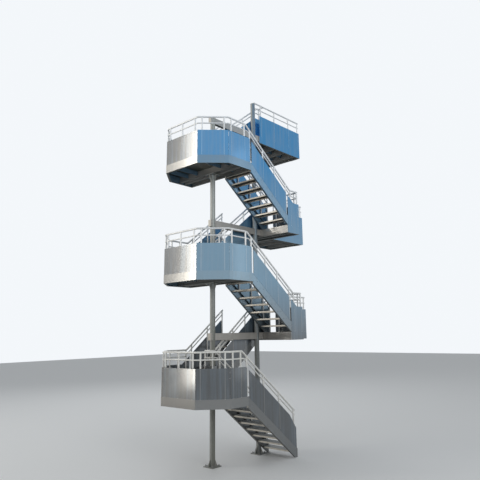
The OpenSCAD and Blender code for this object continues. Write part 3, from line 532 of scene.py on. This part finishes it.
# Sleeves where the raking rails meet the level ones, and caps on the open rail ends
joints = {"top": 0.012, "low": 1.640, "length": 0.016, "proud": 0.0014, "sides": 20,
          "wallSide": 0.290, "firstEnd": 1.837}
caps = {"length": 0.004, "proud": 0.0005, "round": 0.003, "sides": 20}
sleeveMesh = bmesh.new()
capMesh = bmesh.new()
rails = [(tower["flatRail"], tower["rakeRail"], tower["railRadius"]),
         (tower["flatMid"], tower["rakeMid"], tower["midRadius"])]


downRake = Matrix.Rotation(math.pi / 2 + pitch, 4, "Y")
upRake = Matrix.Rotation(pitch - math.pi / 2, 4, "Y")


def onRake(matrix, along, over):
    # A spot on the middle line of a raking rail
    return matrix @ Matrix.Translation((along, tower["postIn"], over - slope * along))


def addCap(bm, seat, radius):
    addDisc(bm, seat, caps["length"], radius + caps["proud"], caps["sides"], top=radius - caps["round"])


def addSleeve(bm, seat, radius):
    addDisc(bm, seat, joints["length"], radius + joints["proud"], joints["sides"],
            lift=-joints["length"] / 2)


for number, flight in enumerate(flights):
    for matrix, outer in ((flight["matrix"], True), (innerSide(flight), False)):
        for flat, over, radius in rails:
            if flight["far"] and outer:
                addCap(capMesh, onRake(matrix, joints["wallSide"], over) @ upRake, radius)
            else:
                addSleeve(sleeveMesh, onRake(matrix, joints["top"], over) @ downRake, radius)
            if number == 0:
                addCap(capMesh, onRake(matrix, joints["firstEnd"], over) @ downRake, radius)
            else:
                addSleeve(sleeveMesh, onRake(matrix, joints["low"], over) @ downRake, radius)
ends = {"walk": 0.030, "endGuard": 0.032}
walkLine = tower["nearLane"] + tower["postIn"]
endLine = tower["wall"] - tower["postRadius"]
for level, z in enumerate(tower["rightLevels"]):
    openEnds = [(tower["walkwayEnd"] - ends["walk"], walkLine, "right")]
    if level < topLevel:
        openEnds += [
            (tower["wall"] + ends["walk"], walkLine, "left"),
            (tower["wall"] - guards["nearEndPost"] + tower["postRadius"], tower["postIn"], "right"),
            (endLine, tower["postIn"] + ends["endGuard"], "near"),
            (endLine, walkLine - ends["endGuard"], "far"),
        ]
    for flat, over, radius in rails:
        for u, v, towards in openEnds:
            addCap(capMesh, Matrix.Translation(place(u, v, z + flat)) @ turns[towards], radius)
finishPiece(sleeveMesh, "railSleeves", "tubes")
finishPiece(capMesh, "railCaps", "tubes")

# The three sizes of bolt, and the anchor bolts in the base plates
anchorLook = {"washer": 0.0200, "washerHeight": 0.0030, "headRadius": 0.0173, "head": 0.0160,
              "studRadius": 0.0100, "stud": 0.0220}
smallLook = {"washer": 0.0150, "washerHeight": 0.0012, "headRadius": 0.0115, "head": 0.0062,
             "studRadius": 0.0060, "stud": 0.0004}
nutLook = {"washer": 0.0160, "washerHeight": 0.0025, "headRadius": 0.0125, "head": 0.0100,
           "studRadius": 0.0070, "stud": 0.0080}
plates = {"baseTop": 0.020, "anchor": 0.115, "nutTurn": (3, 5), "seatThick": 0.015, "deck": 0.006,
          "bearer": 0.200, "flange": 0.008, "seatBolt": (0.112, 0.100), "firstSeatBolt": 0.092}
columns = [place(tower["originU"], tower["originV"], 0), place(tower["columnU"], tower["originV"], 0)]
anchorMesh = bmesh.new()
for where in columns:
    for x in (-plates["anchor"], plates["anchor"]):
        for y in (-plates["anchor"], plates["anchor"]):
            seat = Matrix.Translation(where + Vector((x, y, plates["baseTop"])))
            turn = x * plates["nutTurn"][0] + y * plates["nutTurn"][1]
            addBolt(anchorMesh, seat @ Matrix.Rotation(turn, 4, "Z"), anchorLook)
finishPiece(anchorMesh, "anchorBolts", "structure")

# Bolts between the seat plates and the bearers
seatMesh = bmesh.new()
for level, z in enumerate(tower["leftLevels"]):
    under = z - plates["deck"] - plates["bearer"]
    for sideSign in (-1, 1):
        x = plates["firstSeatBolt"] if level == 0 and sideSign > 0 else plates["seatBolt"][0]
        for y in (-plates["seatBolt"][1], plates["seatBolt"][1]):
            addBolt(seatMesh, Matrix.Translation((sideSign * x, y, under + plates["flange"])), smallLook)
            addBolt(seatMesh, Matrix.Translation((sideSign * x, y, under - plates["seatThick"]))
                    @ turns["down"], nutLook)
finishPiece(seatMesh, "seatBolts", "structure")

# Bolts of the flights: end plates, feet with one bolt on the ground and two above, two at each tread end
strings = {"endPlate": 0.008, "across": 0.044, "heights": [-0.070, -0.145], "footInset": [0.030, 0.085],
           "foot": 0.008, "toe": 1.710, "firstToe": 1.905,
           "treadBolts": [-0.200, -0.060], "treadDrop": 0.022}
flightMesh = bmesh.new()
treadMesh = bmesh.new()
for number, flight in enumerate(flights):
    toe = strings["firstToe"] if number == 0 else strings["toe"]
    floor = -flight["risers"] * tower["riser"]
    for matrix in (flight["matrix"], innerSide(flight)):
        for height in strings["heights"]:
            seat = matrix @ Matrix.Translation((strings["endPlate"], strings["across"], height))
            addBolt(flightMesh, seat @ turns["right"], smallLook)
        for inset in strings["footInset"][:1 if number == 0 else 2]:
            seat = matrix @ Matrix.Translation((toe - inset, strings["across"], floor + strings["foot"]))
            addBolt(flightMesh, seat, smallLook)
        for step in range(1, flight["risers"]):
            for back in strings["treadBolts"]:
                drop = -step * tower["riser"] - strings["treadDrop"]
                seat = matrix @ Matrix.Translation((step * tower["going"] + back, tower["setback"], drop))
                addBolt(treadMesh, seat @ turns["near"], smallLook)
finishPiece(flightMesh, "flightBolts", "structure")
finishPiece(treadMesh, "treadBolts", "structure")

# Nuts of the wall bolts, on the inside of the channel at the walkways' ends
wallBolts = {"plate": 0.260, "holes": [0.052, 0.208], "channel": 0.008, "down": 0.110}
wallMesh = bmesh.new()
walkNear = tower["nearLane"] + tower["setback"]
for z in tower["rightLevels"]:
    for middle in (walkNear + wallBolts["plate"], tower["width"] - wallBolts["plate"]):
        for hole in wallBolts["holes"]:
            seat = Matrix.Translation(place(
                tower["walkwayEnd"] - wallBolts["channel"], middle - wallBolts["plate"] / 2 + hole,
                z - wallBolts["down"]))
            addBolt(wallMesh, seat @ turns["left"], nutLook)
finishPiece(wallMesh, "wallBolts", "structure")

# Weld rings round the columns: at the base plates, at the seats and under the top
rings = {"height": 0.008, "spread": 0.007, "seam": 0.0002, "sides": 40,
         "lip": 0.010, "lipProud": 0.002, "top": 10.361}
ringMesh = bmesh.new()
seats = [(where, plates["baseTop"]) for where in columns]
seats += [(columns[0], z - plates["deck"] - plates["bearer"]) for z in tower["leftLevels"]]
for where, z in seats:
    addDisc(ringMesh, Matrix.Translation(where + Vector((0, 0, z))), rings["height"],
            tower["columnRadius"] + rings["spread"], rings["sides"],
            top=tower["columnRadius"] + rings["seam"])
addDisc(ringMesh, Matrix.Translation(columns[1] + Vector((0, 0, rings["top"] - rings["lip"]))), rings["lip"],
        tower["columnRadius"] + rings["lipProud"], rings["sides"],
        top=tower["columnRadius"] - rings["lipProud"])
finishPiece(ringMesh, "columnRings", "columns")

# Raised grips on the decks and treads, two to a cell
grips = {"cell": 0.080, "length": 0.019, "width": 0.0055, "height": 0.0013, "taper": 0.55, "sides": 4,
         "angle": 45, "shift": 0.25, "margin": 0.030, "columnClear": 0.115}


def addGripCell(bm, at=(0, 0, 0), squeeze=1.0):
    for sign in (1, -1):
        shift = -sign * grips["shift"] * grips["cell"]
        shape = (Matrix.Translation(at) @ Matrix.Translation((shift * squeeze, shift, 0))
                 @ Matrix.Rotation(math.radians(sign * grips["angle"]), 4, "Z")
                 @ Matrix.Diagonal((grips["length"], grips["width"], 1, 1)))
        addDisc(bm, shape, grips["height"], 1.0, grips["sides"], top=grips["taper"])


def copyMoved(bm, pattern, move):
    copied = bmesh.ops.duplicate(bm, geom=pattern)
    moved = [item for item in copied["geom"] if isinstance(item, bmesh.types.BMVert)]
    bmesh.ops.translate(bm, verts=moved, vec=move)


def repeatAlong(bm, step, length):
    # Doubles the pattern until it reaches the length
    reach = step.length
    while reach < length:
        copyMoved(bm, bm.verts[:] + bm.edges[:] + bm.faces[:], step.normalized() * reach)
        reach *= 2


def inOutline(point, outline, margin):
    # The outline runs counterclockwise, a point counts when it is well inside every side
    for first, second in zip(outline, outline[1:] + outline[:1]):
        along = Vector(second) - Vector(first)
        offset = point - Vector(first)
        if along.x * offset.y - along.y * offset.x < margin * along.length:
            return False
    return True


def addGripField(target, outline, z):
    lowU, lowV = min(p[0] for p in outline), min(p[1] for p in outline)
    bm = bmesh.new()
    addGripCell(bm)
    repeatAlong(bm, Vector((grips["cell"], 0, 0)), max(p[0] for p in outline) - lowU)
    repeatAlong(bm, Vector((0, grips["cell"], 0)), max(p[1] for p in outline) - lowV)
    bmesh.ops.translate(bm, verts=bm.verts, vec=(lowU + grips["cell"] / 2, lowV + grips["cell"] / 2, 0))
    outside = []
    for vert in bm.verts:
        spot = vert.co.xy
        clear = all((spot - Vector((u, tower["originV"]))).length > grips["columnClear"]
                    for u in (tower["originU"], tower["columnU"]))
        if not clear or not inOutline(spot, outline, grips["margin"]):
            outside.append(vert)
    cut = set(outside)
    for vert in outside:
        cut.update(other for face in vert.link_faces for other in face.verts)
    bmesh.ops.delete(bm, geom=list(cut), context="VERTS")
    bmesh.ops.transform(bm, matrix=Matrix.Translation(place(0, 0, z)), verts=bm.verts)
    mesh = bpy.data.meshes.new("gripField")
    bm.to_mesh(mesh)
    bm.free()
    target.from_mesh(mesh)
    bpy.data.meshes.remove(mesh)


for level, z in enumerate(tower["leftLevels"]):
    edge = leftEdge(level)
    gripMesh = bmesh.new()
    addGripField(gripMesh, [
        (0, 0), (edge, 0), (edge, tower["width"]), (0, tower["width"]),
        (-tower["cornerCut"], tower["width"] - tower["cornerCut"]),
        (-tower["cornerCut"], tower["cornerCut"])], z)
    if level == 0:
        addGripField(gripMesh, [(edge, farLaneEdge), (leftReach, farLaneEdge), (leftReach, tower["width"]),
                                (edge, tower["width"])], z)
    finishPiece(gripMesh, f"leftGrips{level + 1}", "deck_steel")
for level, z in enumerate(tower["rightLevels"]):
    start = tower["rightEdge"] if level == topLevel else tower["wall"]
    gripMesh = bmesh.new()
    addGripField(gripMesh, [(start, walkNear), (tower["walkwayEnd"], walkNear),
                            (tower["walkwayEnd"], tower["width"]), (start, tower["width"])], z)
    if level < topLevel:
        addGripField(gripMesh, [(tower["rightEdge"], tower["setback"]), (tower["wall"], tower["setback"]),
                                (tower["wall"], tower["width"]), (tower["rightEdge"], tower["width"])], z)
    finishPiece(gripMesh, f"rightGrips{level + 1}", "deck_steel")

# Grips and ribbed nosings of the treads, the same on each tread down a flight
treads = {"side": 0.016, "nosing": 0.034, "nosingEdge": 0.003, "nosingInset": 0.004, "nosingHeight": 0.0022,
          "rib": 0.0035, "ribInset": 0.006, "ribHeight": 0.0014, "ribs": [0.009, 0.018, 0.027],
          "rows": 3, "rowStep": 0.88, "squeeze": 0.6, "firstRow": 0.036, "firstColumn": 0.06,
          "gripMargin": 0.04}
for number, flight in enumerate(flights):
    gripMesh = bmesh.new()
    nosingMesh = bmesh.new()
    inside = flight["lane"] - 2 * treads["side"]
    for step in range(1, flight["risers"]):
        front = step * tower["going"]
        frameMatrix = flight["matrix"] @ Matrix.Translation((front, treads["side"], -step * tower["riser"]))
        addBar(nosingMesh, frameMatrix, (-treads["nosing"], treads["nosingInset"], 0),
               (-treads["nosingEdge"], inside - treads["nosingInset"], treads["nosingHeight"]))
        for rib in treads["ribs"]:
            addBar(nosingMesh, frameMatrix,
                   (-rib - treads["rib"], treads["ribInset"], treads["nosingHeight"]),
                   (-rib, inside - treads["ribInset"], treads["nosingHeight"] + treads["ribHeight"]))
    for row in range(treads["rows"]):
        for column in range(int((inside - treads["gripMargin"]) / grips["cell"])):
            at = (-treads["nosing"] - treads["firstRow"] - row * grips["cell"] * treads["rowStep"],
                  treads["side"] + treads["firstColumn"] + column * grips["cell"], 0)
            addGripCell(gripMesh, at, treads["squeeze"])
    firstTread = gripMesh.verts[:] + gripMesh.edges[:] + gripMesh.faces[:]
    for step in range(1, flight["risers"] - 1):
        copyMoved(gripMesh, firstTread, (step * tower["going"], 0, -step * tower["riser"]))
    bmesh.ops.transform(gripMesh, verts=gripMesh.verts, matrix=flight["matrix"]
                        @ Matrix.Translation((tower["going"], 0, -tower["riser"])))
    finishPiece(gripMesh, f"treadGrips{number + 1}", "deck_steel")
    finishPiece(nosingMesh, f"nosings{number + 1}", "deck_steel")


# Floor and background

floorLook = {"size": 120.0, "roughness": 0.9, "color": (0.80, 0.80, 0.79)}


def makeFloor():
    grid = bmesh.new()
    bmesh.ops.create_grid(grid, x_segments=2, y_segments=2, size=floorLook["size"] / 2)
    mesh = bpy.data.meshes.new("floor")
    grid.to_mesh(mesh)
    grid.free()
    floor = bpy.data.objects.new("floor", mesh)
    bpy.context.scene.collection.objects.link(floor)
    material = bpy.data.materials.new("floorPaint")
    material.use_nodes = True
    tree = material.node_tree
    shader = tree.nodes["Principled BSDF"]
    shader.inputs["Roughness"].default_value = floorLook["roughness"]
    shader.inputs["Base Color"].default_value = (*floorLook["color"], 1)
    mesh.materials.append(material)


sky = {"softColor": (0.90, 0.95, 1.0, 1), "softStrength": 0.42,
       "seenColor": (0.90, 0.93, 0.96, 1), "seenStrength": 1.0}


def makeWorld():
    world = bpy.data.worlds.new("studio")
    bpy.context.scene.world = world
    world.use_nodes = True
    tree = world.node_tree
    tree.nodes.clear()
    out = tree.nodes.new("ShaderNodeOutputWorld")
    soft = addNode(tree, "ShaderNodeBackground", values={
        "Color": sky["softColor"], "Strength": sky["softStrength"]})
    seen = addNode(tree, "ShaderNodeBackground", values={
        "Color": sky["seenColor"], "Strength": sky["seenStrength"]})
    path = tree.nodes.new("ShaderNodeLightPath")
    mirrored = calculate(tree, "MAXIMUM", path.outputs["Is Glossy Ray"], path.outputs["Is Transmission Ray"])
    either = calculate(tree, "MAXIMUM", path.outputs["Is Camera Ray"], mirrored)
    mix = tree.nodes.new("ShaderNodeMixShader")
    join(tree, either, mix.inputs[0])
    join(tree, soft.outputs[0], mix.inputs[1])
    join(tree, seen.outputs[0], mix.inputs[2])
    join(tree, mix.outputs[0], out.inputs["Surface"])


def makeLight(name, where, target, size, power, color):
    lamp = bpy.data.lights.new(name, "AREA")
    lamp.shape = "RECTANGLE"
    lamp.size, lamp.size_y = size
    lamp.energy = power
    lamp.color = color
    holder = bpy.data.objects.new(name, lamp)
    holder.location = where
    holder.rotation_euler = (Vector(target) - Vector(where)).to_track_quat("-Z", "Y").to_euler()
    bpy.context.scene.collection.objects.link(holder)


lights = {
    "stripLight": {"where": (-16, 15.8, 9), "target": (-1, 0, 9), "size": (1.5, 18), "power": 1050,
                   "color": (1.0, 0.97, 0.90)},
    "leftLight": {"where": (-14, 4, 10), "target": (0, 0, 6), "size": (7, 7), "power": 210,
                  "color": (1.0, 0.97, 0.92)},
    "frontLight": {"where": (-5, -15, 9), "target": (0, 0, 6), "size": (7, 7), "power": 560,
                   "color": (0.94, 0.97, 1.0)},
    "patchLight": {"where": (9.66, -10.2, 7), "target": (0, -1, 7), "size": (0.5, 12), "power": 22,
                   "color": (1.0, 0.98, 0.95)},
    "backLight": {"where": (10, 14, 16), "target": (1, 0, 5), "size": (10, 10), "power": 700,
                  "color": (0.95, 0.97, 1.0)},
}

makeFloor()
makeWorld()
for lightName, light in lights.items():
    makeLight(lightName, light["where"], light["target"], light["size"], light["power"], light["color"])
print("stage set")

# The camera at the photograph's angle
view = {
    "at": (-9.427, -9.887, 3.228), "yaw": 0.8554, "pitch": 0.2287, "roll": -0.0201,
    "lens": 37.78, "sensor": 36.0, "shiftX": -0.0393, "shiftY": -0.0517, "far": 400.0,
}


def makeCamera():
    data = bpy.data.cameras.new("camera")
    data.lens = view["lens"]
    data.sensor_width = view["sensor"]
    data.shift_x = view["shiftX"]
    data.shift_y = view["shiftY"]
    data.clip_end = view["far"]
    ahead = Vector((math.sin(view["yaw"]), math.cos(view["yaw"]), 0))
    side = Vector((math.cos(view["yaw"]), -math.sin(view["yaw"]), 0))
    up = Vector((0, 0, 1))
    look = ahead * math.cos(view["pitch"]) + up * math.sin(view["pitch"])
    over = up * math.cos(view["pitch"]) - ahead * math.sin(view["pitch"])
    right = side * math.cos(view["roll"]) + over * math.sin(view["roll"])
    above = over * math.cos(view["roll"]) - side * math.sin(view["roll"])
    camera = bpy.data.objects.new("camera", data)
    turn = Matrix((right, above, -look)).transposed().to_4x4()
    camera.matrix_world = Matrix.Translation(Vector(view["at"])) @ turn
    bpy.context.scene.collection.objects.link(camera)
    bpy.context.scene.camera = camera


makeCamera()
bpy.context.scene.view_settings.view_transform = "Standard"
